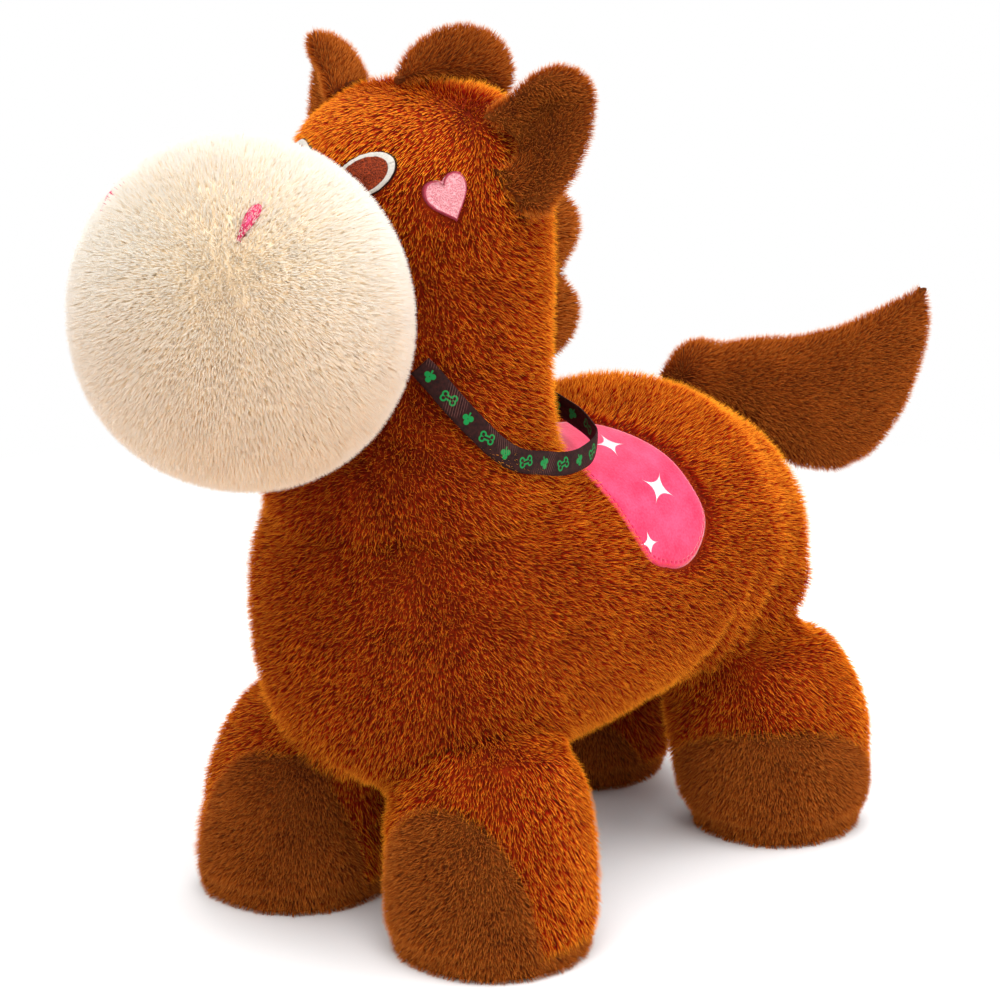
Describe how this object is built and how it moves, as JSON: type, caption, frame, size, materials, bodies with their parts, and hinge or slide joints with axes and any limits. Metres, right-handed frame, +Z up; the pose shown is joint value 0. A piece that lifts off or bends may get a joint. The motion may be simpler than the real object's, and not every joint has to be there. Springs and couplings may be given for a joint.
{
  "type": "plush horse",
  "caption": "Standing plush toy horse with a large round muzzle, cupped ears, scalloped mane, stub legs with toe caps, saddle flaps and a ribbon rein.",
  "frame": {"origin": "middle of the bounding box, on the floor under the four soles", "axes": "+Z up, the horse faces -Y, its left side is +X"},
  "size_m": [0.2064, 0.4708, 0.3817],
  "materials": {
    "rust_plush": "long pile, rust orange",
    "cream_plush": "fine pile, cream",
    "brown_plush": "short pile, brown",
    "pink_felt": "smooth short pile, hot pink",
    "blush_satin": "satin embroidery, light pink",
    "eye_embroidery": "satin embroidery, white ring and red-brown middle",
    "ribbon": "woven ribbon, maroon with green figures",
    "fibre": "loose white fibre"
  },
  "bodies": {
    "body": {"torso": "rust_plush", "torso_stuffing": "fibre", "head_neck": "rust_plush", "head_stuffing": "fibre", "muzzle": "cream_plush", "muzzle_stuffing": "fibre", "leg_front_left": "rust_plush", "toe_cap_front_left": "brown_plush", "sole_front_left": "brown_plush", "leg_stuffing_front_left": "fibre", "leg_front_right": "rust_plush", "toe_cap_front_right": "brown_plush", "sole_front_right": "brown_plush", "leg_stuffing_front_right": "fibre", "leg_rear_left": "rust_plush", "toe_cap_rear_left": "brown_plush", "sole_rear_left": "brown_plush", "leg_stuffing_rear_left": "fibre", "leg_rear_right": "rust_plush", "toe_cap_rear_right": "brown_plush", "sole_rear_right": "brown_plush", "leg_stuffing_rear_right": "fibre", "saddle_left": "pink_felt", "saddle_right": "pink_felt", "eye_left": "eye_embroidery", "heart_left": "blush_satin", "eye_right": "eye_embroidery", "heart_right": "blush_satin", "nostril_left": "pink_felt", "nostril_right": "pink_felt", "rein": "ribbon"},
    "tail_body": {"tail": "brown_plush", "tail_stuffing": "fibre"},
    "ear_left_body": {"ear_left": "brown_plush"},
    "ear_right_body": {"ear_right": "brown_plush"},
    "forelock_body": {"forelock": "brown_plush"},
    "mane_body": {"mane": "brown_plush"}
  },
  "joints": [
    {"name": "tail_swing", "type": "hinge", "parent": "body", "child": "tail_body", "pos_m": [0, 0.12058, 0.205], "axis": [0, 0, 1], "range_deg": [-5, 55], "stiffness_Nm_per_rad": 0.02},
    {"name": "ear_left_fold", "type": "hinge", "parent": "body", "child": "ear_left_body", "pos_m": [0.05266, -0.06939, 0.326], "axis": [0.3695, 0.3995, -0.839], "range_deg": [-12, 25], "stiffness_Nm_per_rad": 0.02},
    {"name": "ear_right_fold", "type": "hinge", "parent": "body", "child": "ear_right_body", "pos_m": [-0.05266, -0.06939, 0.326], "axis": [0.3695, -0.3995, 0.839], "range_deg": [-12, 25], "stiffness_Nm_per_rad": 0.02},
    {"name": "forelock_flop", "type": "hinge", "parent": "body", "child": "forelock_body", "pos_m": [0, -0.04192, 0.361], "axis": [0, -1, 0], "range_deg": [-20, 20], "stiffness_Nm_per_rad": 0.02},
    {"name": "mane_flop", "type": "hinge", "parent": "body", "child": "mane_body", "pos_m": [0, -0.00769, 0.224], "axis": [0, 0, 1], "range_deg": [-22, 22], "stiffness_Nm_per_rad": 0.02}
  ]
}
